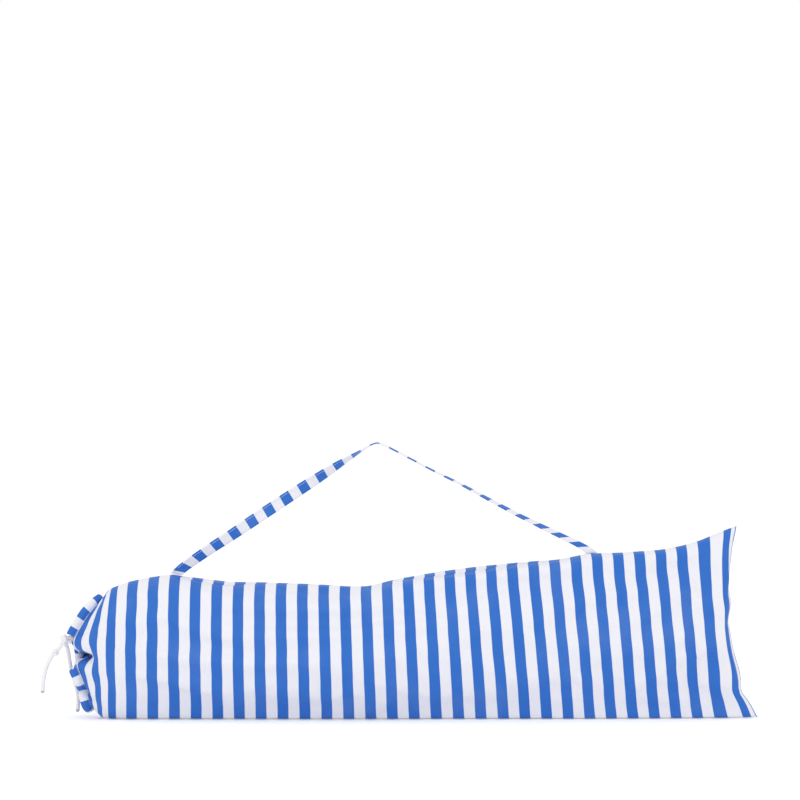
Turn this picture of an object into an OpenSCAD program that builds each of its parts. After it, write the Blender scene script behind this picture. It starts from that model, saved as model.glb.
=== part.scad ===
// Striped drawstring carry bag, filled, lying on its long lower edge.
// Millimetres. +X runs from the gathered mouth to the sewn flat end, +Z is up,
// the front is on the -Y side and Z = 0 is the face that the bag rests on.

/* [Bag] */
// Length of the filled bag from the mouth's hem to the lower corner of the sewn end
bag_length = 1290; // [1150:10:1400]
// Width of the cloth tube when it is empty and flat
cloth_width = 370; // [340:5:400]
// Thickness drawn for the cloth walls
wall = 2; // [1.6:0.2:2.6]

/* [Mouth] */
// Height of the hem that the cord runs in
hem_width = 18; // [16:0.5:20]
// Clear space left between the two sides of the mouth, at its middle
mouth_gap = 19; // [16:1:22]

/* [Cord] */
// Diameter of the drawcord
cord_d = 7; // [5.5:0.5:7.5]
// How far the knot stands off the hem's edge
knot_gap = 1.5; // [1:0.5:4]

/* [Strap] */
// Width of the carry strap
strap_width = 22; // [18:1:26]
// Thickness of the carry strap
strap_thick = 2.4; // [1.8:0.2:3]
// Height of the strap's highest point above the rest face
strap_top = 517; // [480:1:540]

/* [Hidden] */

blue = [0.16, 0.36, 0.72];
blue_dark = [0.13, 0.30, 0.62];
white = [0.92, 0.92, 0.95];

kx = bag_length / 1290;
kz = cloth_width / 370;
half_mouth = mouth_gap / 2;
hem_t = 11;

// ---- the filled bag's outline, every length before it is scaled by kx and kz ----

// top edge of the filled bag, by distance along it
top_line = [[-600, 218], [-588, 236], [-570, 246], [-530, 259], [-490, 267], [-455, 272],
            [-420, 268], [-340, 258], [-200, 254], [-120, 250], [-80, 250], [-20, 264],
            [60, 277], [140, 287], [220, 295], [290, 301], [340, 311], [400, 313],
            [475, 318], [515, 325], [550, 336], [585, 354], [600, 364]];
// how deep the filled bag is from front to back
deep_line = [[-600, 30], [-594, 60], [-585, 92], [-570, 128], [-545, 162], [-500, 188],
             [-455, 200], [-340, 213], [-200, 217], [-80, 222], [0, 208], [60, 196],
             [140, 186], [220, 176], [290, 168], [340, 158], [400, 150], [475, 138],
             [530, 114], [560, 88], [580, 58], [592, 30], [600, 8]];
// lower edge: it lifts off the floor only at the mouth
low_line = [[-600, 20], [-592, 8], [-578, 0], [600, 0]];
// how square the section is: small is boxy, 1 is an ellipse, above 1 is pointed
round_line = [[-600, 0.35], [-560, 0.8], [-500, 1], [300, 1], [450, 1.1], [560, 1.3], [600, 1.3]];
// mouth edge along the bag, by height from its lower end (0) to its upper end (100)
mouth_edge = [[0, -598], [8, -606], [18, -611], [28, -618], [40, -626], [53, -630],
              [65, -629], [78, -618], [90, -600], [100, -577]];
// sewn end along the bag, by height in the same way: the two corners stand out as ears
end_edge = [[0, 645], [6, 637], [10, 626], [14, 611], [22, 609], [33, 603], [42, 591], [52, 586],
            [75, 587], [82, 590], [91, 597], [100, 604]];

// how far the filled bag's top lags behind its bottom along the bag
lean_line = [[-600, 0], [-300, 6], [-140, 10], [20, 16], [160, 27], [600, 33]];

function smooth(x, line, r) = (lookup(x - r, line) + 2 * lookup(x, line) + lookup(x + r, line)) / 4;
function top_z(x) = kz * smooth(x, top_line, 9);
// height of the top seam at a place along the bag
function seam_z(x) = top_z(x + lookup(x, lean_line) / 2);
function deep(x) = kz * smooth(x, deep_line, 4);
function low_z(x) = kz * lookup(x, low_line);
function squareness(x) = smooth(x, round_line, 10);
function near_mouth(x) = pow(max(0, 1 - (x + 600) / 60), 2);
function near_end(x) = pow(max(0, 1 - (600 - x) / 100), 2);
function along(x, h) = kx * (x + (smooth(h * 100, mouth_edge, 4) + 600) * near_mouth(x)
                               + (smooth(h * 100, end_edge, 3) - 600) * near_end(x)
                               + lookup(x, lean_line) * (0.5 - h) * (1 - near_mouth(x)) * (1 - near_end(x)));
function settle(x) = 6 * kz * max(0, min(1, (x + 590) / 60));

// one point of the bag's skin; side -1 is the front, +1 the back; t is how far inside it lies
function skin(x, a, side, t) =
    let (h = (1 + cos(a)) / 2,
         lo = low_z(x) - settle(x),
         up = top_z(x),
         half = max(0.1, deep(x) / 2 - t))
    [along(x, h),
     side * (0.05 + half * pow(sin(a), squareness(x))),
     max(low_z(x) + t, lo + t + (up - lo - 2 * t) * h)];

stations = 46;
rounds = 18;
function station(i) = let (u = 2 * i / stations - 1) 600 * (0.3 * sin(90 * u) + 0.7 * u);

// a closed skin between an outer and an inner grid of points
module panel(side) {
    m = rounds + 1;
    outer = [for (i = [0:stations]) for (j = [0:rounds]) skin(station(i), 180 * j / rounds, side, 0)];
    inner = [for (i = [0:stations]) for (j = [0:rounds]) skin(station(i), 180 * j / rounds, side, wall)];
    o = len(outer);
    faces = concat(
        [for (i = [0:stations - 1]) for (j = [0:rounds - 1])
            for (f = [[i * m + j, i * m + j + 1, (i + 1) * m + j + 1], [i * m + j, (i + 1) * m + j + 1, (i + 1) * m + j]]) f],
        [for (i = [0:stations - 1]) for (j = [0:rounds - 1])
            for (f = [[o + i * m + j, o + (i + 1) * m + j + 1, o + i * m + j + 1],
                      [o + i * m + j, o + (i + 1) * m + j, o + (i + 1) * m + j + 1]]) f],
        [for (i = [0:stations - 1])
            for (f = [[i * m, (i + 1) * m, o + (i + 1) * m], [i * m, o + (i + 1) * m, o + i * m]]) f],
        [for (i = [0:stations - 1]) let (p = i * m + rounds, q = (i + 1) * m + rounds)
            for (f = [[p, o + q, q], [p, o + p, o + q]]) f],
        [for (j = [0:rounds - 1]) for (f = [[j, o + j, o + j + 1], [j, o + j + 1, j + 1]]) f],
        [for (j = [0:rounds - 1]) let (p = stations * m + j)
            for (f = [[p, o + p + 1, o + p], [p, p + 1, o + p + 1]]) f]);
    turned = [for (f = faces) side < 0 ? [f[2], f[1], f[0]] : f];
    polyhedron(points = concat(outer, inner), faces = turned, convexity = 8);
}

// ---- sweeping a round or flat section along a route ----

function unit(v) = v / norm(v);
function spline_point(a, b, c, d, u) =
    0.5 * (2 * b + (c - a) * u + (2 * a - 5 * b + 4 * c - d) * u * u + (3 * b - a - 3 * c + d) * u * u * u);
function route(p, steps) = let (n = len(p) - 1)
    concat([for (i = [0:n - 1]) for (k = [0:steps - 1])
        spline_point(p[max(0, i - 1)], p[i], p[i + 1], p[min(n, i + 2)], k / steps)], [p[n]]);
function heading(p, i) = unit(p[min(len(p) - 1, i + 1)] - p[max(0, i - 1)]);

// rings is a list of closed rings with the same number of points
module loft(rings) {
    n = len(rings[0]);
    r = len(rings);
    pts = [for (g = rings) for (q = g) q];
    sides_ = [for (i = [0:r - 2]) for (j = [0:n - 1])
        for (f = [[i * n + j, (i + 1) * n + (j + 1) % n, i * n + (j + 1) % n],
                  [i * n + j, (i + 1) * n + j, (i + 1) * n + (j + 1) % n]]) f];
    ends = [[for (j = [0:n - 1]) j], [for (j = [n - 1:-1:0]) (r - 1) * n + j]];
    polyhedron(points = pts, faces = concat(sides_, ends), convexity = 6);
}

module cord(p, radii, flat) {
    loft([for (i = [0:len(p) - 1])
        let (h = heading(p, i), a = unit(cross(h, flat)), b = cross(h, a), r = radii[min(i, len(radii) - 1)])
        [for (j = [0:9]) p[i] + r * (a * cos(36 * j) + b * sin(36 * j))]]);
}

// ---- the mouth's hem: a flattened loop round the slit ----

function edge_x(h) = smooth(h * 100, mouth_edge, 4);
function edge_z(h) = kz * (20 + 198 * h);
// the way the hem's width points, away from the cloth, in the plane of the slit
function hem_out(h) =
    let (u = max(0.02, min(0.98, h)), t = [kx * (edge_x(u + 0.02) - edge_x(u - 0.02)), edge_z(u + 0.02) - edge_z(u - 0.02)])
    unit([-t[1], 0, t[0]]);
function loop_y(a) = (sin(a) < 0 ? 1 : -1) * (half_mouth + hem_t / 2) * pow(abs(sin(a)), 0.4);
function loop_at(a) = let (h = (1 + cos(a)) / 2)
    [kx * edge_x(h), loop_y(a), edge_z(h)] + (hem_width / 2 + 1.8) * hem_out(h);
exit_a = 73;
exit_half = 5;
hem_steps = 84;
hem_path = [for (i = [0:hem_steps]) loop_at(exit_a + exit_half + (360 - 2 * exit_half) * i / hem_steps)];
hem_ways = [for (i = [0:hem_steps]) hem_out((1 + cos(exit_a + exit_half + (360 - 2 * exit_half) * i / hem_steps)) / 2)];

function hem_ring(i, rw, rt) =
    let (h = heading(hem_path, i), w = hem_ways[i], t = unit(cross(h, w)), w2 = cross(t, h))
    [for (j = [0:11]) hem_path[i] + w2 * rw * cos(30 * j) + t * rt * sin(30 * j)];

module hollow_loft(outer, inner) {
    n = len(outer[0]);
    r = len(outer);
    pts = concat([for (g = outer) for (q = g) q], [for (g = inner) for (q = g) q]);
    o = n * r;
    faces = concat(
        [for (i = [0:r - 2]) for (j = [0:n - 1]) let (k = (j + 1) % n)
            for (f = [[i * n + j, (i + 1) * n + k, i * n + k], [i * n + j, (i + 1) * n + j, (i + 1) * n + k]]) f],
        [for (i = [0:r - 2]) for (j = [0:n - 1]) let (k = (j + 1) % n)
            for (f = [[o + i * n + j, o + i * n + k, o + (i + 1) * n + k],
                      [o + i * n + j, o + (i + 1) * n + k, o + (i + 1) * n + j]]) f],
        [for (j = [0:n - 1]) let (k = (j + 1) % n) for (f = [[j, k, o + k], [j, o + k, o + j]]) f],
        [for (j = [0:n - 1]) let (k = (j + 1) % n, e = (r - 1) * n)
            for (f = [[e + j, o + e + k, e + k], [e + j, o + e + j, o + e + k]]) f]);
    polyhedron(points = pts, faces = faces, convexity = 8);
}

// ---- cord outside the hem ----

knot_r = cord_d * 1.15;
exit_h = (1 + cos(exit_a)) / 2;
exit_spot = loop_at(exit_a);
knot_at = [exit_spot[0] - hem_width / 2 - knot_gap - knot_r, exit_spot[1] + 2, exit_spot[2]];

// ---- strap ----

function lift(z) = z <= 330 ? z : 330 + (z - 330) * (strap_top - 330) / (517 - 330);
strap_route = [for (q = [[-441, 276], [-434, 282], [-420, 293.5], [-379, 327], [-304, 375], [-230, 416],
                         [-155, 464], [-100, 500], [-78, 514], [-66, 517], [-50, 512], [31, 468], [143, 411],
                         [217, 374], [292, 338], [318, 325.5], [332, 318]])
               [kx * q[0], 0, kz * lift(q[1])]];
// the way the strap's width points: along the seam where it is sewn, then facing the front, then level at its top
strap_ways = [[-441, [0.98, 0, -0.12]], [-420, [0.94, 0, -0.3]], [-379, [0.75, 0, -0.66]], [-320, [0.58, 0, -0.82]],
              [-230, [0.5, 0.02, -0.86]], [-190, [0.45, 0.3, -0.8]], [-150, [0.3, 0.65, -0.65]], [-100, [0.1, 0.95, -0.2]],
              [-66, [0, 1, 0]], [31, [0.1, 1, 0]], [143, [0.35, 0.93, 0.05]], [217, [0.55, 0.8, 0.05]],
              [292, [0.85, 0.5, 0.06]], [332, [0.99, 0.05, 0.06]]];
function way_part(x, k) = smooth(x, [for (w = strap_ways) [w[0], w[1][k]]], 8);
strap_path = route(strap_route, 4);
function strap_way(i) = let (x = strap_path[i][0] / kx) unit([way_part(x, 0), way_part(x, 1), way_part(x, 2)]);
function strap_face(i) = unit(cross(heading(strap_path, i), strap_way(i)));

// ---- nodes ----

module front_panel() {
    color(blue) panel(-1);
}

module back_panel() {
    color(blue) panel(1);
}

// the hem is a tube of the same cloth, open where the cord comes out
module mouth_hem() {
    color(white) hollow_loft(
        [for (i = [0:hem_steps]) hem_ring(i, hem_width / 2, hem_t / 2)],
        [for (i = [0:hem_steps]) hem_ring(i, cord_d / 2 + 0.7, cord_d / 2 + 0.7)]);
}

// row of stitches that closes the hem, on its outer face close to the bag
module hem_stitching() {
    color(white) for (side = [0, 1]) {
        first = side == 0 ? 4 : 44;
        last = side == 0 ? 36 : 80;
        row = [for (i = [first:2:last])
            let (h = heading(hem_path, i), w = hem_ways[i], t = unit(cross(h, w)), s = t[1] * hem_path[i][1] > 0 ? 1 : -1)
            hem_path[i] - w * hem_width * 0.34 + t * s * (hem_t / 2 * 0.77 + 1)];
        cord(row, [0.5], [1, 0, 0]);
    }
}

// bar tacks that hold the strap's ends on the top seam
module strap_tacks() {
    color(white) for (q = [-441, 332]) {
        translate([kx * q - 7, -1, seam_z(q) + 1.8]) cube([14, 2, 0.8]);
    }
}

// the cord inside the hem, all the way round the mouth
module hem_cord() {
    color(white) cord([for (i = [0:2:hem_steps]) hem_path[i]], [cord_d / 2], [1, 0, 0.2]);
}

module exit_knot() {
    k = [for (i = [0:10]) knot_at + [0, 0, 1.5 * knot_r * (i / 5 - 1)]];
    r = [for (i = [0:10]) max(1, knot_r * sqrt(max(0, 1 - pow(i / 5 - 1, 2))))];
    color(white) cord(k, r, [0, 1, 0]);
}

// the two runs of cord that the knot draws out of the bag
module pull_strands() {
    color(white) for (s = [-1, 1]) {
        a = knot_at + [knot_r + 0.6, 2.5, s * (cord_d / 2 + 0.4)];
        cord(route([a, a + [20, 5, 0], a + [38, 8, 0], a + [56, 10, 0]], 3), [cord_d / 2], [0, 1, 0]);
    }
}

long_route = [for (q = [[-6, 0, -13.5], [-13, 0, -20], [-21, 0, -28], [-30, 1, -42], [-36, 1, -60], [-39, 0, -78], [-40, 0, -95]])
              knot_at + q];
module long_tail() {
    color(white) cord(route(long_route, 3), [cord_d / 2], [0, 1, 0]);
}

// second small knot, part of the way along the long tail
module stopper_knot() {
    c = (long_route[1] + long_route[2]) / 2 + [-cord_d * 0.75 - 0.6, -cord_d * 0.6, 4];
    color(white) cord([for (i = [0:8]) c + [2.2 * (i / 4 - 1), 0, 4 * (i / 4 - 1)]],
                      [for (i = [0:8]) max(0.8, 4 * sqrt(max(0, 1 - pow(i / 4 - 1, 2))))], [0, 1, 0]);
}

module long_tail_tip() {
    e = long_route[6];
    color(white) cord([e + [0, 0, -0.4], e + [0, 0, -2], e + [0, 0, -4]], [cord_d / 2, cord_d / 2.3, cord_d / 4], [0, 1, 0]);
}

short_route = [for (q = [[1, 9, -12.5], [1, 16, -22], [2, 27, -36], [7, 38, -52], [13, 41, -72], [19, 41, -92], [23, 40, -112],
                         [25, 39, -130]]) knot_at + q];
module short_tail() {
    color(white) cord(route(short_route, 3), [cord_d / 2], [0, 1, 0]);
}

module short_tail_tip() {
    e = short_route[7];
    color(white) cord([e + [0, 0, -0.4], e + [0, 0, -2], e + [0, 0, -4]], [cord_d / 2, cord_d / 2.3, cord_d / 4], [0, 1, 0]);
}

module carry_strap() {
    w = strap_width / 2;
    t = strap_thick / 2;
    color(blue_dark) loft([for (i = [0:len(strap_path) - 1])
        [for (q = [[-1, -1], [0, -1], [1, -1], [1, 1], [0, 1], [-1, 1]])
            strap_path[i] + strap_way(i) * w * q[0] + strap_face(i) * t * q[1]]]);
}

// row of stitches near the strap's edge
module strap_stitching() {
    row = [for (i = [2:2:len(strap_path) - 3])
        strap_path[i] - strap_way(i) * strap_width * 0.36 - strap_face(i) * (strap_thick / 2 + 0.9)];
    color(white) cord(row, [0.45], [0.3, 0.2, 1]);
}

front_panel();
back_panel();
mouth_hem();
hem_stitching();
strap_tacks();
hem_cord();
exit_knot();
pull_strands();
long_tail();
stopper_knot();
long_tail_tip();
short_tail();
short_tail_tip();
carry_strap();
strap_stitching();
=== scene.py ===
# %% [markdown]
# # A filled drawstring carry bag
# Everything is in metres in the part's own frame: +X runs from the gathered mouth to the sewn
# end, the front faces -Y, +Z is up and the bag rests on Z = 0.

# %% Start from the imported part
import math
import bpy
import numpy as np
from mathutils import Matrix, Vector


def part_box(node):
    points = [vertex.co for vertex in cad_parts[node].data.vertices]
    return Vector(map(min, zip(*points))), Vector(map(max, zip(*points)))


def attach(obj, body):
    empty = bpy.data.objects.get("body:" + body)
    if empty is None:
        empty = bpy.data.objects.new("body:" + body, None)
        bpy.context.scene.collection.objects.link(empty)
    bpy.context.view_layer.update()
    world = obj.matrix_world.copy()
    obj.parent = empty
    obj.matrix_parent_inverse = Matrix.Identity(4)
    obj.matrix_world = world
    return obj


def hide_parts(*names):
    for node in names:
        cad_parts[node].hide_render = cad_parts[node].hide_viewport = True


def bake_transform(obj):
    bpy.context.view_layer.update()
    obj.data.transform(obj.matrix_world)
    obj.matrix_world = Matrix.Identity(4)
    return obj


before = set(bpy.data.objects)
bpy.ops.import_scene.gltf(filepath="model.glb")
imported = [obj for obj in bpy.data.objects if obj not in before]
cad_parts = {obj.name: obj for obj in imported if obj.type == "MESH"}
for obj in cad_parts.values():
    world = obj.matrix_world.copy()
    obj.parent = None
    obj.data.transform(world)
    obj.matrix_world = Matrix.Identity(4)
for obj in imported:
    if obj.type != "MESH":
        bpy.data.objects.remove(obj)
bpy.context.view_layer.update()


# %% [markdown]
# ## Small helpers
# A bag has no straight edge, so its shape is written as lines of a few chosen points: how high
# the top is at this place, how deep the bag is at that one. A soft line through such points is
# quick to change, and it keeps the shape smooth between them.

# %% Helpers
def line(x, points, blur=0.0):
    """Reads a line of (place, value) points, both in millimetres, and rounds its corners."""
    px, py = zip(*points)
    taps = [(-1.5, 1), (-0.75, 2), (0, 3), (0.75, 2), (1.5, 1)]
    return sum(w * np.interp(x + k * blur, px, py) for k, w in taps) / 9


def run_along(points):
    """Distance from the first point to each point, along the line through them."""
    return np.r_[0, np.cumsum(np.linalg.norm(np.diff(points, axis=0), axis=1))]


def curve_through(keys, count):
    """Evenly spaced points on a smooth curve through the keys."""
    keys = np.array(keys, float)
    padded = np.vstack([2 * keys[0] - keys[1], keys, 2 * keys[-1] - keys[-2]])
    out = []
    for i in range(len(keys) - 1):
        a, b, c, d = padded[i:i + 4]
        for t in np.linspace(0, 1, 24, endpoint=False):
            out.append(0.5 * (2 * b + (c - a) * t + (2 * a - 5 * b + 4 * c - d) * t * t
                              + (3 * b - a - 3 * c + d) * t ** 3))
    out.append(keys[-1])
    return even(np.array(out), count)


def even(points, count):
    """The same curve with its points evenly spaced."""
    run = run_along(points)
    return at_runs(np.linspace(0, run[-1], count), run, points)


def at_runs(want, run, points):
    """The points at the wanted distances along a line."""
    return np.stack([np.interp(want, run, points[:, k]) for k in range(3)], 1)


def unit(v):
    """The same direction, one long."""
    return v / np.linalg.norm(v, axis=-1)[..., None]


def headings(path):
    """Which way a line is going at each of its points."""
    return unit(np.gradient(path, axis=0))


def new_mesh(name, points, faces, uv=None, smooth=True):
    """Makes a mesh object; uv is one (u, v) for each point, or for each face corner."""
    mesh = bpy.data.meshes.new(name)
    mesh.from_pydata([tuple(p) for p in points], [], [tuple(f) for f in faces])
    if uv is not None:
        layer = mesh.uv_layers.new(name="cloth")
        loops = np.zeros(len(mesh.loops), int)
        mesh.loops.foreach_get("vertex_index", loops)
        flat = np.asarray(uv, float)
        flat = flat[loops] if len(flat) == len(points) else flat
        layer.data.foreach_set("uv", flat.ravel())
    if smooth:
        mesh.polygons.foreach_set("use_smooth", [True] * len(mesh.polygons))
    mesh.update()
    obj = bpy.data.objects.new(name, mesh)
    bpy.context.scene.collection.objects.link(obj)
    return obj


# %% [markdown]
# ## The filled bag's shape
# Cloth doesn't stretch, so every ring round the bag keeps the same girth: where the bag is tall
# it is thin, and where it is low it is deep. The bag could be modelled as a box with rounded
# edges, but then its stripes would be too long in one place and too short in another. Rings of
# one girth keep the woven stripes true, and the flat sewn end comes out by itself.

# %% Lines of the filled bag, in millimetres
GIRTH_HALF = 0.367      # width of the empty tube, m
CLOTH_LONG = 1.274      # cloth from the hem to the sewn end, m
STRIPE = 0.01978        # one woven stripe, m; blue and white make a repeat of two

# height of the top, how deep the bag is and height of the underside, by place along it

TOP = [(-600, 218), (-588, 236), (-570, 246), (-530, 259), (-490, 267), (-455, 272), (-420, 268),
       (-340, 258), (-200, 254), (-120, 250), (-80, 250), (-20, 264), (60, 277), (140, 287),
       (220, 295), (290, 301), (340, 311), (400, 313), (475, 318), (515, 325), (550, 336),
       (585, 354), (600, 364)]
DEEP = [(-600, 32), (-595, 74), (-587, 106), (-572, 138), (-547, 168), (-500, 189), (-455, 200),
        (-340, 213), (-200, 217), (-80, 220), (0, 206), (60, 194), (140, 184), (220, 174),
        (290, 166), (340, 156), (400, 149), (475, 143), (530, 134), (560, 123), (582, 104),
        (593, 74), (600, 3)]
LOW = [(-600, 20), (-592, 8), (-578, 0), (600, 0)]
# how square the section is: below 1 is boxy, above 1 is pointed
ROUND = [(-600, 0.35), (-560, 0.8), (-500, 1), (300, 1), (450, 1.1), (560, 1.3), (600, 1.3)]
# where the mouth's edge and the sewn end lie, by height from the bottom (0) to the top (100)
MOUTH = [(0, -594), (8, -600), (18, -604), (28, -609), (40, -618), (47, -625), (55, -631),
         (65, -630), (78, -618), (90, -600), (100, -577)]
END = [(0, 643), (5, 636), (11.5, 622), (15.5, 608), (19, 611), (25.5, 608), (36.5, 596), (44, 591),
       (52, 586), (60, 593), (67, 587), (75.5, 588), (90, 594), (100, 602.5)]
# how far the top seam has rolled towards the front, along the bag
ROLL = [(-455, 0), (-420, 20), (-380, 34), (-330, 30), (-290, 10), (-250, 0), (-60, 0), (-20, 16),
        (20, 25), (60, 28), (100, 26), (150, 22), (190, 15), (250, 11), (300, 8), (330, 0)]
# how far the top lags behind the bottom, along the bag
LEAN = [(-600, -4), (-300, 2), (-140, 7), (20, 14), (160, 26), (600, 33)]
TOP_SAG = 5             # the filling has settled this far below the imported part's top
SINK = 6                # the underside is pressed this far into the floor, which flattens it
MOUTH_REACH, END_REACH = 50, 70     # how far in from each end its edge line still shows


def ring(x, count, rolled=True):
    """Evenly spaced points round one ring of the filled bag, from the top, down the front."""
    turn = np.linspace(0, math.pi, 260)
    up, deep, low = line(x, TOP, 8) - TOP_SAG, line(x, DEEP, 3), line(x, LOW)
    sink = SINK * min(1, max(0, (x + 590) / 60))
    h = (1 + np.cos(turn)) / 2
    y = -deep / 2 * np.sin(turn) ** line(x, ROUND, 8)
    z = np.maximum(low, low - sink + (up - low + sink) * h)
    at_mouth = max(0, 1 - (x + 600) / MOUTH_REACH) ** 2
    at_end = max(0, 1 - (600 - x) / END_REACH) ** 2
    along = (x + (line(h * 100, MOUTH, 3) + 600) * at_mouth
             + (line(h * 100, END, 2) - 600) * at_end
             + line(x, LEAN) * (0.5 - h) * (1 - at_mouth) * (1 - at_end))
    front = np.stack([along, y, z], 1)
    back = front[::-1] * (1, -1, 1)
    whole = np.vstack([front, back[1:]]) / 1000
    run = run_along(whole)
    start = line(x, ROLL, 12) / 1000 if rolled else 0
    return at_runs((start + np.arange(count) / count * run[-1]) % run[-1], run, whole)


# %% [markdown]
# ## The edge of the mouth
# The cord draws the edge into a shorter line than the cloth has, so the cloth folds. A
# simulation could gather it, but its folds would fall anywhere. Here the edge is laid
# in the folds that it takes, and only the cloth behind it is left to settle. The largest fold
# is tucked in sideways, below the place where the cord comes out.

# %% Edge of the mouth
FRONT_EDGE = [(-577, 0, 218), (-589, -11, 209), (-602, -15, 196), (-612, -15, 182),
              (-621, -15, 168), (-629, -16, 153), (-633, -17, 141), (-628, -14, 130),
              (-615, -3, 123), (-602, 8, 119.5), (-596, 12, 117), (-602, 8, 114.5),
              (-615, -3, 111), (-627, -14, 104), (-625, -16, 94), (-619, -15, 80),
              (-614, -17, 69), (-611, -9, 61), (-606, -4, 54), (-607, -10, 46),
              (-604, -15, 37), (-600, -11, 25), (-594, 0, 18)]
BACK_EDGE = [(-594, 0, 18), (-600, 12, 26), (-604, 17, 42), (-606, 8, 54), (-609, 17, 66),
             (-611, 14, 84), (-611, 5, 96), (-615, 15, 106), (-617, 17, 122), (-616, 7, 133),
             (-619, 16, 143), (-620, 15, 156), (-617, 16, 170), (-610, 13, 184),
             (-600, 15, 198), (-588, 10, 210), (-577, 0, 218)]
front_edge = curve_through(FRONT_EDGE, 400) / 1000
back_edge = curve_through(BACK_EDGE, 400) / 1000
print("edge of the mouth, m:", [round(run_along(e)[-1], 3) for e in (front_edge, back_edge)])

# %% [markdown]
# ## One tube of cloth
# The two panels are sewn along the top, the bottom and the end. They could be settled one by
# one, but then their seams wouldn't meet. So they are settled as one tube, and cut apart
# afterwards along those seams.

# %% Grid of the cloth tube
ALONG = 208             # rows from the mouth to the sewn end
HALF = 58               # columns across one panel
AROUND = 2 * HALF
FRONT_MIDDLE = 9        # of 40 points round a ring, the one near the middle of the front

dense = np.linspace(-600, 600, 500)
middle = np.array([ring(x, 40, rolled=False)[FRONT_MIDDLE] for x in dense])
run = run_along(middle)
print("length over the swell, m:", round(run[-1], 3))
stations = np.interp(np.linspace(0, run[-1], ALONG + 1), run, dense)
sleeve = np.array([ring(x, AROUND) for x in stations])
cloth_at = np.arange(ALONG + 1) / ALONG * CLOTH_LONG    # metres of cloth from the mouth

# %% [markdown]
# ### Gathers and the deep fold
# The drawn edge pulls the first rows of cloth with it. At the deep fold, every row near the
# mouth bends round a slot, and the slot's lips come together and stand a little proud.

# %% Gathers
PULL_REACH = 0.085                      # how far into the bag the drawn edge is felt
PULL_FADES = np.array((2, 2, 0.6))      # how fast it is lost: along, in depth, in height
edge = np.vstack([even(front_edge, HALF + 1), even(back_edge, HALF + 1)[1:-1]])
pull = edge - sleeve[0]
for i, u in enumerate(cloth_at):
    if u < PULL_REACH:
        sleeve[i] += pull * ((1 - u / PULL_REACH) ** PULL_FADES)

# %% Deep fold
SLOT_TIP, SLOT_HIGH = -0.5965, 0.117    # the fold's inner end, and its height
SLOT_REACH = 0.075                      # how far into the bag the rows still bend round it
SLOT_LONG = 0.044                       # cloth from the mouth to where the rows bend openly
TIGHT, OPEN = 0.0012, 0.0438            # radius of the bend at the slot, and what it gains
for i, u in enumerate(cloth_at):
    if 0 < u < SLOT_REACH:
        row = sleeve[i, :HALF]
        fade = (1 - u / SLOT_REACH) ** 0.7
        away = row[:, 2] - SLOT_HIGH
        bend = TIGHT + OPEN * (u / SLOT_LONG) ** 5
        round_slot = SLOT_TIP + 0.0060 * (u / SLOT_LONG) - away ** 2 / (2 * bend)
        near = np.exp(-(away / 0.04) ** 2) * fade
        wanted = np.logaddexp(row[:, 0] / TIGHT, round_slot / TIGHT) * TIGHT
        row[:, 0] += (wanted - row[:, 0]) * near
        # the lips close up, swell towards the front, and the slot's floor lies behind them
        lips = np.exp(-((np.abs(away) - 0.012) / 0.009) ** 2)
        row[:, 2] -= away * 0.25 * np.exp(-(away / 0.02) ** 2) * fade
        row[:, 1] -= 0.005 * lips * fade * np.clip((u / 0.012), 0, 1)
        inside = row[:, 0] < SLOT_TIP + 0.001
        row[:, 1] += 0.018 * np.exp(-(away / 0.004) ** 2) * fade * inside

# %% [markdown]
# ### The sewn end
# Its thread gathers the seam a little, so shallow puckers run in from it. The front's and the
# back's last rows are one seam, so their points are joined.

# %% Sewn end
PUCKER_REACH, PUCKER_LONG = 0.11, 0.083
for i, u in enumerate(cloth_at):
    fade = max(0, 1 - (1 - i / ALONG) * CLOTH_LONG / PUCKER_REACH)
    offset = np.where(sleeve[i, :, 1] < 0, 0.6, 2.2)
    wave = np.sin(sleeve[i, :, 2] * (2 * math.pi / PUCKER_LONG) + offset)
    sleeve[i, :, 1] *= 1 - 0.20 * fade * (0.5 + 0.5 * wave)

last = sleeve[ALONG]
for j in range(1, HALF):
    pair = (last[j] + last[AROUND - j]) / 2
    last[j] = last[AROUND - j] = pair

index = np.arange((ALONG + 1) * AROUND).reshape(ALONG + 1, AROUND)
for j in range(1, HALF):
    index[ALONG, AROUND - j] = index[ALONG, j]
keep = np.unique(index)
renumber = np.full(index.max() + 1, -1)
renumber[keep] = np.arange(len(keep))
index = renumber[index]
points = sleeve.reshape(-1, 3)[keep]
faces = [(index[i, j], index[i, (j + 1) % AROUND], index[i + 1, (j + 1) % AROUND],
          index[i + 1, j]) for i in range(ALONG) for j in range(AROUND)]
faces = [tuple(dict.fromkeys(int(k) for k in f))[::-1] for f in faces]

# the same cloth laid flat gives its true lengths
flat = np.zeros(sleeve.shape)
across = np.arange(AROUND) / HALF
for i, u in enumerate(cloth_at):
    flat[i, :, 0] = u
    flat[i, :, 2] = -np.where(across <= 1, across, 2 - across) * GIRTH_HALF
flat_points = flat.reshape(-1, 3)[keep]
sack = new_mesh("sack", points, faces)
print("cloth tube:", len(points), "points")

# %% [markdown]
# ## Let the cloth settle
# Wrinkles could be drawn into the mesh, but cloth knows better where it has length to spare.
# The mouth's edge is held, and the seams and the deep fold nearly so. Everywhere else the cloth
# is only drawn gently towards the filled shape, pushed out a little from inside, and buckles
# where it has more length than room.

# %% Settle the cloth
sack.shape_key_add(name="filled")
flat_key = sack.shape_key_add(name="flat")
flat_key.data.foreach_set("co", flat_points.ravel())
flat_key.value = 0

u_of = flat_points[:, 0]
around = np.tile(np.arange(AROUND), ALONG + 1)[keep]
to_seam = np.minimum(around, np.minimum(np.abs(around - HALF), AROUND - around))
near_slot = (np.abs(points[:, 2] - SLOT_HIGH) < 0.03) & (points[:, 1] < 0.01)
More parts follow.
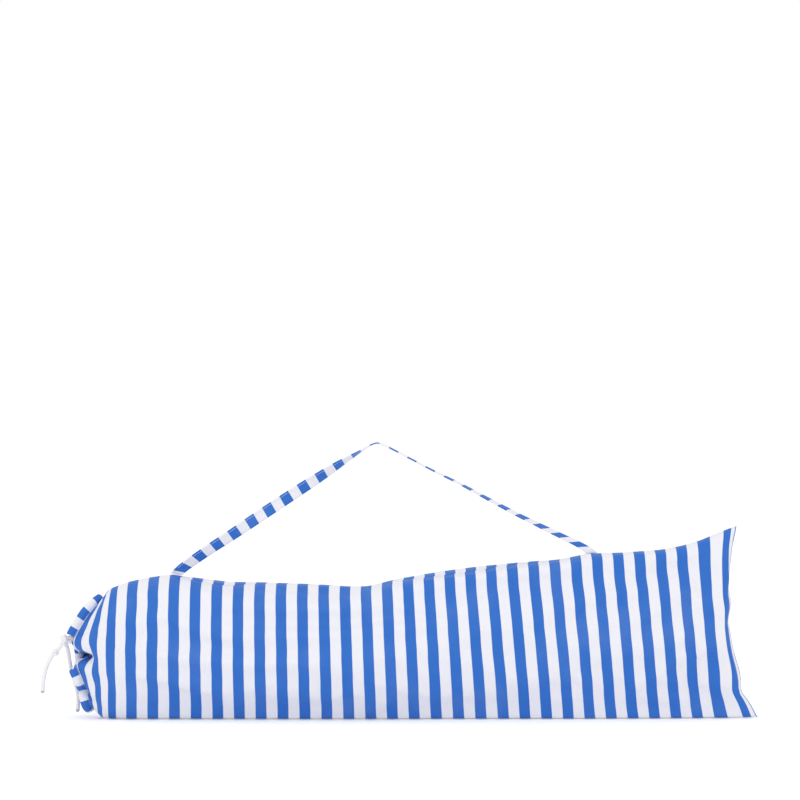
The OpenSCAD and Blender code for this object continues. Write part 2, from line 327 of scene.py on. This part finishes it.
# how firmly each point is held; a later line goes over an earlier one
weight = np.full(len(keep), 0.06)
weight[u_of > 1.16] = 0.03
weight[to_seam <= 1] = 0.35
weight[u_of > CLOTH_LONG - 0.001] = 0.45
weight[u_of < 0.12] = 0.05
weight[(u_of < SLOT_REACH) & near_slot] = 0.35
weight[u_of < 0.001] = 1.0
hold = sack.vertex_groups.new(name="hold")
for w in np.unique(weight):
    hold.add([int(k) for k in np.flatnonzero(weight == w)], float(w), "REPLACE")

cloth = sack.modifiers.new("cloth", "CLOTH")
s = cloth.settings
s.quality = 6
s.mass = 0.12
s.tension_stiffness = s.compression_stiffness = 25
s.shear_stiffness = 6
s.bending_model = "ANGULAR"
s.bending_stiffness = 0.6
s.tension_damping = s.compression_damping = 12
s.bending_damping = 0.8
s.air_damping = 4
s.rest_shape_key = flat_key
s.vertex_group_mass = "hold"
s.pin_stiffness = 1.0
s.use_pressure = True
s.uniform_pressure_force = 1.2
s.effector_weights.gravity = 0.0
cloth.collision_settings.use_collision = False
frames = 40
cloth.point_cache.frame_start = 1
cloth.point_cache.frame_end = frames
scene = bpy.context.scene
for f in range(1, frames + 1):
    scene.frame_set(f)
settled = sack.evaluated_get(bpy.context.evaluated_depsgraph_get())
lies_at = np.zeros(len(points) * 3)
settled.data.vertices.foreach_get("co", lies_at)
lies_at = lies_at.reshape(-1, 3)
scene.frame_set(1)
moved = np.linalg.norm(lies_at - points, axis=1)
print("furthest settled, m:", round(float(moved.max()), 4))
bpy.data.objects.remove(sack)
CLOTH_OFF_FLOOR = 0.0015
lies_at[:, 2] = np.maximum(lies_at[:, 2], CLOTH_OFF_FLOOR)
settled_sleeve = lies_at[index]

# %% [markdown]
# ## Materials
# A small wrapper lets shader sums be written as ordinary sums. Every pattern is worked out from
# the cloth's own coordinates, which are metres along and across the flat cloth.

# %% Shader helpers
class Wire:
    """One output socket of a material, so that shader sums read as ordinary sums."""

    def __init__(self, paint, socket):
        self.paint, self.socket = paint, socket

    def __add__(self, other):
        return self.paint.maths("ADD", self, other)

    def __sub__(self, other):
        return self.paint.maths("SUBTRACT", self, other)

    def __mul__(self, other):
        return self.paint.maths("MULTIPLY", self, other)

    def __truediv__(self, other):
        return self.paint.maths("DIVIDE", self, other)

    def __radd__(self, other):
        return self.paint.maths("ADD", other, self)

    def __rsub__(self, other):
        return self.paint.maths("SUBTRACT", other, self)

    def do(self, kind, *others):
        return self.paint.maths(kind, self, *others)


class Paint:
    """A material with its tree, and one method for each way of adding to it."""

    def __init__(self, name):
        self.material = bpy.data.materials.new(name)
        self.material.use_nodes = True
        self.tree = self.material.node_tree
        self.surface = self.tree.nodes["Principled BSDF"]

    def put(self, socket, value):
        if isinstance(value, Wire):
            self.tree.links.new(value.socket, socket)
        else:
            socket.default_value = value

    def node(self, kind, settings=None, values=None, out=0):
        made = self.tree.nodes.new(kind)
        for key, value in (settings or {}).items():
            setattr(made, key, value)
        for key, value in (values or {}).items():
            self.put(made.inputs[key], value)
        return Wire(self, made.outputs[out])

    def maths(self, kind, *values):
        return self.node("ShaderNodeMath", {"operation": kind}, dict(enumerate(values)))

    def mix(self, factor, a, b):
        return self.node("ShaderNodeMix", {"data_type": "RGBA"}, {0: factor, 6: a, 7: b}, out=2)

    def cloth_place(self):
        """Metres along and across the flat cloth."""
        place = self.node("ShaderNodeUVMap", {"uv_map": "cloth"})
        parts = self.node("ShaderNodeSeparateXYZ", None, {0: place}).socket.node
        return Wire(self, parts.outputs[0]), Wire(self, parts.outputs[1])

    def noise(self, scale, detail=2.0, place=None):
        """Soft random light and dark, by the object's own place if no other is given."""
        if place is None:
            place = self.node("ShaderNodeTexCoord", out=3)
        values = {"Scale": scale, "Detail": detail, "Vector": place}
        return self.node("ShaderNodeTexNoise", None, values)

    def bump(self, height, strength, distance, more=None):
        values = {"Strength": strength, "Distance": distance, "Height": height}
        return self.node("ShaderNodeBump", None, {**values, **(more or {})})

    def finish(self, **sockets):
        for key, value in sockets.items():
            self.put(self.surface.inputs[key.replace("_", " ")], value)
        return self.material


def grey(value):
    return (value, value, value, 1)


# %% [markdown]
# ### Striped cloth
# The cloth is a closely woven, slightly shiny cotton. Its stripes are woven in, so they follow
# the cloth's own length and not the room's. Yarns are about half a millimetre, so the weave is
# only a fine bump, and the edge of a stripe steps from one yarn to the next.

# %% Striped cloth
BLUE = (0.018, 0.135, 0.520, 1)
WHITE = (0.775, 0.77, 0.825, 1)
YARN = 2 * math.pi / 0.0009     # two yarns to a wave


def striped(name, start, wide=STRIPE, seams=False):
    """Cloth with stripes across its length; start is where a blue stripe begins, in metres."""
    paint = Paint(name)
    u, v = paint.cloth_place()
    flat = paint.node("ShaderNodeCombineXYZ", None, {0: u, 1: v, 2: 0.0})
    waver = (paint.noise(25.0, 1.0, flat) - 0.5) * 0.0012
    place = ((u + waver - start) / (2 * wide) + 0.25).do("FRACT")
    step = ((place - 0.5).do("ABSOLUTE") - 0.25) * (2 * wide / 0.0007) + 0.5
    is_white = step.do("MAXIMUM", 0.0).do("MINIMUM", 1.0)
    weave = (u * YARN).do("SINE") * (v * YARN).do("SINE")
    slub = paint.noise(900.0, 2.0, flat)
    cloud = paint.noise(9.0, 3.0, flat)
    colour = paint.mix(is_white, BLUE, WHITE)
    pale = ((cloud - 0.5) * 0.16 + (slub - 0.5) * 0.10).do("MAXIMUM", 0.0)
    colour = paint.mix(pale, colour, (0.9, 0.92, 1.0, 1))
    height = weave * 0.35 + slub * 0.5
    bump = paint.bump(height, 0.25, 0.0006)
    if seams:
        # the seam allowance makes a low ridge, and its thread puckers the cloth beside it
        off = v.do("MINIMUM", GIRTH_HALF - v)
        pucker = (u * (2 * math.pi / 0.023) + cloud * 9.0).do("SINE")
        ridge = (off * -260.0).do("EXPONENT") * 1.4 + (off * -70.0).do("EXPONENT") * pucker * 0.5
        bump = paint.bump(ridge, 0.8, 0.0016, {"Normal": bump})
    return paint.finish(Base_Color=colour, Roughness=0.55 + (cloud - 0.5) * 0.2, Normal=bump,
                        Specular_IOR_Level=0.3)


# %% [markdown]
# ### Cord, thread and grey tips
# The cord is braided, so it has slanting ridges both ways round it. Thread is too fine for
# that and gets only soft light and dark. A tail's tip is smooth, hard and greyer than the cord.

# %% Cord, thread and grey tips
BRAID = 2 * math.pi / 0.0052    # one ridge of the braid, along the cord
TWICE_ROUND = 12.566            # and the same ridge, round it


def darker(colour, share):
    return tuple(share * c for c in colour[:3]) + (1,)


def cord_paint(name, base):
    paint = Paint(name)
    u, v = paint.cloth_place()
    one = ((u * BRAID) + v * TWICE_ROUND).do("SINE").do("ABSOLUTE")
    two = ((u * BRAID) - v * TWICE_ROUND).do("SINE").do("ABSOLUTE")
    fluff = paint.noise(700.0, 3.0)
    bump = paint.bump(one.do("MAXIMUM", two) + fluff * 0.35, 0.35, 0.0005)
    # painted shade: the braid's grooves, between its ridges, are painted up to 7% darker
    colour = paint.mix(one.do("MAXIMUM", two) * 0.5, darker(base, 0.93), base)
    return paint.finish(Base_Color=colour, Roughness=0.75, Normal=bump, Sheen_Weight=0.3)


def thread_paint(name, base):
    paint = Paint(name)
    colour = paint.mix(paint.noise(1500.0, 2.0), darker(base, 0.85), base)
    return paint.finish(Base_Color=colour, Roughness=0.6, Sheen_Weight=0.2)


white_cord = cord_paint("white cord", (0.83, 0.82, 0.85, 1))
thread = thread_paint("white thread", (0.80, 0.82, 0.88, 1))
# the tails' tips are a plain grey, darker than the cord
grey_tip_paint = Paint("grey cord end").finish(Base_Color=(0.42, 0.42, 0.44, 1), Roughness=0.35)

# %% [markdown]
# ## Front and back panels
# The settled tube is cut along its seams into the two panels that are really there. The back
# panel was cut a little further along the cloth than the front one, so the stripes miss each
# other at the top seam, as they do on a bag that nobody matched by hand.

# %% Cut the panels apart
def panel(name, columns, shift):
    """One panel from its columns of the tube; shift moves its stripes along, in metres."""
    grid = settled_sleeve[:, columns]
    rows, wide = grid.shape[:2]
    cells = [(i * wide + j, i * wide + j + 1, (i + 1) * wide + j + 1, (i + 1) * wide + j)
             for i in range(rows - 1) for j in range(wide - 1)]
    u = np.repeat(np.arange(rows) / ALONG * CLOTH_LONG + shift, wide)
    v = np.tile(np.arange(wide) / HALF * GIRTH_HALF, rows)
    obj = new_mesh(name, grid.reshape(-1, 3), [c[::-1] for c in cells], uv=np.c_[u, v])
    finer = obj.modifiers.new("finer", "SUBSURF")
    finer.levels = finer.render_levels = 1
    finer.boundary_smooth = "PRESERVE_CORNERS"
    smooth = obj.evaluated_get(bpy.context.evaluated_depsgraph_get())
    made = bpy.data.meshes.new_from_object(smooth)
    obj.modifiers.clear()
    obj.data = made
    made.polygons.foreach_set("use_smooth", [True] * len(made.polygons))
    return obj


front_cloth = panel("front_cloth", list(range(HALF + 1)), 0.0)
back_cloth = panel("back_cloth", list(range(HALF, AROUND)) + [0], -0.002)
panel_paint = striped("striped cloth", 0.0036, seams=True)
for obj, node in ((front_cloth, "front_panel"), (back_cloth, "back_panel")):
    obj.data.materials.append(panel_paint)
    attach(obj, "bag")
    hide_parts(node)

# %% [markdown]
# ## Sweeping strips and cords
# The hem, the strap and the cord are all a section carried along a line, so one function makes
# them all. Its uv is metres of the strip's own length, so woven and braided patterns follow.

# %% Sweep
def sweep(name, path, rings, across, caps=True, start=0.0):
    """rings[i] holds the section's points at path[i]; across is each point's v."""
    rings = np.asarray(rings)
    n, m = rings.shape[:2]
    run = start + run_along(path)
    cells, uv = [], []
    for i in range(n - 1):
        for j in range(m):
            k = (j + 1) % m
            v, next_v = across[j], across[k] if k else across[-1] + (across[1] - across[0])
            cells.append((i * m + j, i * m + k, (i + 1) * m + k, (i + 1) * m + j))
            uv += [(run[i], v), (run[i], next_v), (run[i + 1], next_v), (run[i + 1], v)]
    if caps:
        cells.append(tuple(range(m))[::-1])
        uv += [(run[0], across[j]) for j in range(m)][::-1]
        cells.append(tuple((n - 1) * m + j for j in range(m)))
        uv += [(run[-1], across[j]) for j in range(m)]
    return new_mesh(name, rings.reshape(-1, 3), cells, uv=uv)


def round_cord(name, path, radius, sides=16, reference=(0.2, 1, 0.1)):
    """A round cord along path; radius is one number or one for each point."""
    way = headings(path)
    side = [unit(np.cross(way[0], reference))]
    for heading in way[1:]:
        side.append(unit(side[-1] - heading * (side[-1] @ heading)))
    side = np.array(side)
    up = np.cross(way, side)
    turn = np.linspace(0, 2 * math.pi, sides, endpoint=False)
    radius = np.broadcast_to(radius, len(path))[:, None, None]
    rings = path[:, None] + radius * (side[:, None] * np.cos(turn)[:, None]
                                      + up[:, None] * np.sin(turn)[:, None])
    return sweep(name, path, rings, turn / (2 * math.pi))


def dress(obj, paint, slot, *nodes):
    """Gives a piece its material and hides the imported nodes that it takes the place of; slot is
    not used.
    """
    obj.data.materials.append(paint)
    if nodes:
        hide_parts(*nodes)
    return obj


# %% [markdown]
# ## The hem of the mouth
# A strip cut along the cloth, so its stripes cross it. It is folded over the cord and stitched
# along the bag's edge, which leaves it fat over the cord and flat at the stitches. It could be
# the panel's own edge turned over, but its stripes run the other way, so it is a piece by
# itself, swept round the mouth from one side of the cord's way out to the other.

# %% Line of the hem
EXIT_HIGH, EXIT_HALF = 0.147, 5     # where the cord comes out; half that opening, in points
whole_edge = np.vstack([front_edge, back_edge[1:]])
exit_place = int(np.argmin(np.abs(front_edge[:160, 2] - EXIT_HIGH)))
loop = even(np.vstack([whole_edge[exit_place + EXIT_HALF:],
                       whole_edge[1:exit_place - EXIT_HALF]]), 420)
hem_long = float(run_along(loop)[-1])
print("hem, m:", round(hem_long, 3))

# the hem leans down at the bottom of the mouth and up at its top
heights = (loop[:, 2] - 0.018) / 0.200
LEANS = [(0, -0.5), (0.12, -0.3), (0.3, -0.12), (0.6, 0.05), (0.8, 0.45), (1.0, 1.1)]
none = np.zeros(len(loop))
lean_out = np.stack([none - 1, none, np.interp(heights, *zip(*LEANS))], 1)

# inside a fold the hem turns in towards the mouth
tucked = np.clip((loop[:, 2] - 0.092) / 0.010, 0, 1) * (np.arange(len(loop)) < len(loop) // 4)
base_x = np.interp(heights * 100, *zip(*MOUTH)) / 1000
tucked = np.maximum(tucked, 0.8 * np.clip((loop[:, 0] - base_x - 0.006) / 0.014, 0, 1))[:, None]
inward = np.stack([none + 0.35, np.where(loop[:, 1] < 0.013, 1.0, -1.0), none], 1)
outward = unit(unit(lean_out) * (1 - tucked) + inward * tucked)
for _ in range(3):
    outward[1:-1] = unit(outward[:-2] + outward[1:-1] * 2 + outward[2:])
way = headings(loop)
outward = unit(outward - way * np.sum(outward * way, axis=1)[:, None])
thick = np.cross(way, outward)

# %% Hem
HEM_MIDDLE = 0.0076     # from the bag's edge to the middle of the hem
# the hem's section in mm: out from its middle, and to each side
SECTION = [(-8.4, 0.7), (-6.8, 1.5), (-4, 3.3), (0, 4.4), (4, 4.0), (7, 2.6), (8.8, 0.9),
           (8.8, -0.9), (7, -2.6), (4, -4.0), (0, -4.4), (-4, -3.3), (-6.8, -1.5), (-8.4, -0.7)]
slow, fast = np.linspace(0, 30, len(loop)), np.linspace(0, 420, len(loop))
ripple = 1 + 0.10 * np.sin(fast * 0.55 + 1.5 * np.sin(slow))
hem_line = loop + outward * HEM_MIDDLE
hem_rings = [[hem_line[k] + outward[k] * a / 1000
              + thick[k] * b / 1000 * (ripple[k] if abs(b) > 1 else 1) for a, b in SECTION]
             for k in range(len(loop))]
hem = sweep("mouth_hem_cloth", loop, hem_rings, np.array([a for a, _ in SECTION]) / 1000,
            caps=False, start=-hem_long)
dress(hem, striped("hem cloth", -0.015), "hem_cloth", "mouth_hem")
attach(hem, "bag")

# %% [markdown]
# ## Stitches
# A row of stitches could be one thin rod, but then it reads as a wire. Each stitch is a short
# thread of its own, and its two ends dip into the cloth.

# %% Stitches
def stitches(name, path, face, long=0.0028, gap=0.0014, fat=0.0003, sides=5):
    """Short threads lying along path, on the side that face points to."""
    run = run_along(path)
    lift = (np.array([-0.3, 0.35, 0.35, -0.3]) * fat * 2)[:, None]
    turn = 2 * math.pi * np.arange(sides) / sides
    points, cells = [], []
    at = gap
    while at + long < run[-1]:
        places = np.linspace(at, at + long, 4)
        up = unit(at_runs(places, run, face))
        middle = at_runs(places, run, path) + up * lift
        side = np.cross(unit(middle[-1] - middle[0]), up)
        base = len(points)
        points += [middle[q] + fat * (side[q] * math.cos(w) * 1.2 + up[q] * math.sin(w))
                   for q in range(4) for w in turn]
        for q in range(base, base + 3 * sides, sides):
            cells += [(q + a, q + (a + 1) % sides, q + sides + (a + 1) % sides, q + sides + a)
                      for a in range(sides)]
        cells.append(tuple(base + a for a in range(sides))[::-1])
        cells.append(tuple(base + 3 * sides + a for a in range(sides)))
        at += long + gap
    return new_mesh(name, points, cells)


# the row lies on the outer face of the hem, close to the bag
outside = np.where(thick[:, 1] * loop[:, 1] >= 0, 1, -1)[:, None]
outer_face = thick * outside
row = hem_line - outward * 0.0068 + outer_face * 0.0015
hem_stitches = dress(stitches("hem_stitches", row, outer_face), thread, "thread", "hem_stitching")
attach(hem_stitches, "bag")

# %% [markdown]
# ## The carry strap
# One strip folded to double thickness. It is sewn along the top seam at both ends, turns to
# face the front, and turns again to lie level where it is held up. A flat ribbon would do for
# the line of it, but a strip of cloth twists, so each place along it also says which way its
# width points.

# %% Line of the strap
STRAP = [(-441, 0, 268), (-427, 0, 281), (-396, 0, 303), (-332, 0, 345), (-268, 0, 388),
         (-204, 0, 430), (-140, 0, 471), (-92, 0, 501), (-74, 0, 510.5), (-62, 0, 511),
         (-38, 0, 500), (31, 0, 463.5), (98, 0, 430), (165, 0, 394), (232, 0, 359.5),
         (299, 0, 327.5), (320, 0, 316), (332, 0, 307)]
# place along the bag, then the way that the strap's width points there
WAYS = [(-441, 0.98, 0, -0.12), (-426, 0.8, 0.4, -0.4), (-400, 0.56, 0.5, -0.6),
        (-340, 0.5, 0.35, -0.74), (-285, 0.5, 0.08, -0.86), (-240, 0.5, 0.16, -0.85),
        (-205, 0.46, 0.34, -0.8), (-175, 0.4, 0.5, -0.68), (-145, 0.3, 0.7, -0.52),
        (-118, 0.16, 0.9, -0.3), (-95, 0.03, 1, -0.06), (-66, 0, 1, 0), (31, 0.1, 1, 0),
        (143, 0.35, 0.93, 0.05), (217, 0.55, 0.8, 0.05), (292, 0.85, 0.5, 0.06),
        (332, 0.99, 0.05, 0.06)]
strap_line = curve_through(STRAP, 300) / 1000
strap_x = strap_line[:, 0]
way = unit(np.stack([line(strap_x * 1000, [(w[0], w[k]) for w in WAYS], 6) for k in (1, 2, 3)], 1))
face = unit(np.cross(headings(strap_line), way))
print("strap, m:", round(run_along(strap_line)[-1], 3))

# %% Strap
STRAP_HALF, STRAP_DEEP, STRAP_CLOTH = 0.0111, 0.0010, 0.905
# its section: across in half widths, through in half thicknesses, thinner beside the stitches
SECTION = [(-1, -0.5), (-0.96, -1), (-0.78, -1.15), (-0.6, -0.9), (0, -1), (0.6, -0.95),
           (0.96, -1), (1, -0.5), (1, 0.5), (0.96, 1), (0.6, 0.95), (0, 1), (-0.6, 0.9),
           (-0.78, 1.15), (-0.96, 1), (-1, 0.5)]
cup = 0.0006 * np.sin(strap_x * 31) + 0.0004 * np.sin(strap_x * 83 + 1)
strap_rings = [[strap_line[k] + way[k] * STRAP_HALF * a
                + face[k] * (STRAP_DEEP * b + cup[k] * (a * a - 0.5)) for a, b in SECTION]
               for k in range(len(strap_line))]
strap = sweep("strap_cloth", strap_line, strap_rings, [a * STRAP_HALF for a, _ in SECTION])
dress(strap, striped("strap cloth", 0.0067, wide=0.01935), "strap_cloth", "carry_strap")
top_row = strap_line - way * STRAP_HALF * 0.68 - face * (STRAP_DEEP * 1.15)
strap_thread = stitches("strap_stitches", top_row[4:-4], -face[4:-4])
dress(strap_thread, thread, "thread", "strap_stitching")

for obj in (strap, strap_thread):
    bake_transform(obj)

# %% [markdown]
# ## Bar tacks
# Dense zigzags hold each end of the strap on the seam. Both are one piece here, because they
# are one node of the part.

# %% Bar tacks
ZIGS, TACK_LONG, TACK_HALF_WIDE = 46, 0.019, 0.0014
tack_points, tack_cells = [], []
for place, top in ((-0.441, 0.2668), (0.332, 0.3065)):
    zig = np.array([(place - TACK_LONG / 2 + TACK_LONG * k / ZIGS,
                     TACK_HALF_WIDE * (1 if k % 2 else -1), top) for k in range(ZIGS + 1)])
    piece = round_cord("tack", even(zig, 190), 0.00042, sides=5, reference=(0, 0, 1))
    base = len(tack_points)
    tack_points += [tuple(v.co) for v in piece.data.vertices]
    tack_cells += [tuple(base + i for i in p.vertices) for p in piece.data.polygons]
    bpy.data.objects.remove(piece)
tacks = new_mesh("strap_bar_tacks", tack_points, tack_cells)
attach(dress(tacks, thread, "thread", "strap_tacks"), "bag")

# %% [markdown]
# ## The drawcord
# One braided cord. It runs in the hem all the way round, comes out below the middle of the
# front, and both ends are tied together there. One curve could carry all of it, but the knot
# slides and the tails swing, so it is made in the runs that move apart.

# %% Cord in the hem
CORD = 0.0076
cord_in_hem = round_cord("cord_in_hem", hem_line[::3], CORD / 2, sides=10)
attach(dress(cord_in_hem, white_cord, "cord", "hem_cord"), "bag")

# %% [markdown]
# ### Knots
# Both knots are overhand knots pulled tight. The curve of a trefoil is that knot, so it is
# used as it stands, drawn thinner than the cord so that its three loops still show.

# %% Knot where the cord comes out
knot_low, knot_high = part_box("exit_knot")
knot_at = np.array((knot_low + knot_high) / 2) + (0.008, 0, -0.004)
print("knot at", knot_at.round(4))


def overhand(name, centre, size, cord, tilt):
    t = np.linspace(0, 2 * math.pi, 97)
    x = np.sin(t) + 2 * np.sin(2 * t)
    y = np.cos(t) - 2 * np.cos(2 * t)
    z = -np.sin(3 * t) * 1.1
    c, s = math.cos(tilt), math.sin(tilt)
    path = np.stack([z, x, y], 1) * size / 3 @ np.array([[c, 0, s], [0, 1, 0], [-s, 0, c]])
    return dress(round_cord(name, path + centre, cord, sides=14), white_cord, "cord")


exit_knot = overhand("knot_at_exit", knot_at, 0.0082, 0.0037, 0.3)
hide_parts("exit_knot")
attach(exit_knot, "knot")

# %% [markdown]
# ### The two strands
# They run from the knot back into the hem, and slide out of it with the knot.

# %% Strands
for number, side_z in ((1, -1), (2, 1)):
    out = knot_at + (0.004, 0.0015, side_z * 0.0033)
    strand = curve_through([out, out + (0.012, 0.004, side_z * 0.0008),
                            out + (0.03, 0.0085, side_z * 0.0005), out + (0.06, 0.0115, 0)], 24)
    obj = round_cord(f"drawn_strand_{number}", strand, CORD / 2, sides=12)
    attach(dress(obj, white_cord, "cord", "pull_strands"), "knot")


# %% [markdown]
# ### The two tails
# Each tail hangs from the knot in one smooth line and ends in a grey tip. The long one has a
# second small knot. The short one goes behind the hem before it comes down.

# %% Tails
def tail(name, keys, body):
    """keys are places in mm from the knot; extra pieces are carried by the tail."""
    path = curve_through([knot_at + np.array(key) / 1000 for key in keys], 60)
    swell = CORD / 2 + 0.00012 * np.sin(np.linspace(0, 60, len(path)))
    end = path[-1] + unit(path[-1] - path[-2]) * np.linspace(0, 0.0042, 5)[:, None]
    rounded = np.array([1.02, 0.98, 0.9, 0.72, 0.4]) * CORD / 2
    tip = round_cord(name + "_tip_grey", end, rounded, sides=14)
    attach(dress(tip, grey_tip_paint, "cord_tip", name + "_tip"), body)
    obj = dress(round_cord(name + "_cord", path, swell), white_cord, "cord", name)
    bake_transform(obj)


LONG_TAIL = [(-4, 0, -7), (-9, 0, -15), (-15, 0, -21), (-23, 0, -31), (-31, 1, -46),
             (-36, 1, -62), (-39, 0, -79), (-40, 0, -95)]
SHORT_TAIL = [(1, 5, -6), (4, 13, -14), (6, 25, -28), (8, 33, -46), (12, 39, -66),
              (19, 40, -90), (23, 39, -112), (22, 38, -133)]
stopper = overhand("knot_on_tail", knot_at + np.array((-17, 0, -23)) / 1000, 0.0050, 0.0029, 0.9)
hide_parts("stopper_knot")
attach(stopper, "long_end")
tail("long_tail", LONG_TAIL, "long_end")
tail("short_tail", SHORT_TAIL, "short_end")

# %% [markdown]
# ## Floor, light and camera
# A flat white floor lies under an even white sky, with one large soft light above and one in
# front. The floor glows a little, so that it stays white where the bag shades it. The camera
# stands level and a long way off, a little above the strap.

# %% Floor
floor = new_mesh("studio_floor", [(-9, -7, 0), (9, -7, 0), (9, 30, 0), (-9, 30, 0)], [(0, 1, 2, 3)])
floor.data.materials.append(Paint("white floor").finish(
    Base_Color=grey(0.90), Roughness=0.9, Specular_IOR_Level=0.1,
    Emission_Color=grey(1), Emission_Strength=0.17))


# %% Light
def lamp(name, place, size, power, aim=(0, 0, 0.15)):
    data = bpy.data.lights.new(name, "AREA")
    data.shape = "RECTANGLE"
    data.size, data.size_y = size
    data.energy = power
    obj = bpy.data.objects.new(name, data)
    obj.location = place
    obj.rotation_euler = (Vector(aim) - Vector(place)).to_track_quat("-Z", "Y").to_euler()
    scene.collection.objects.link(obj)


lamp("top_light", (-0.4, -1.3, 2.6), (3.0, 1.6), 9)
lamp("front_fill", (-0.6, -3.6, 1.4), (2.4, 1.6), 9)
world = bpy.data.worlds.new("studio")
world.use_nodes = True
sky = world.node_tree.nodes["Background"]
sky.inputs["Color"].default_value = grey(1)
sky.inputs["Strength"].default_value = 1.0
scene.world = world
scene.view_settings.view_transform = "Standard"

# %% Camera
AWAY, SEEN_WIDE = 7.0, 1.49     # distance from the bag, and the width seen there
camera = bpy.data.objects.new("camera", bpy.data.cameras.new("camera"))
scene.collection.objects.link(camera)
camera.location = (-0.025, -AWAY, 0.592)
camera.rotation_euler = (math.pi / 2, 0, 0)
camera.data.sensor_width = 36
camera.data.lens = 36 * AWAY / SEEN_WIDE
scene.camera = camera
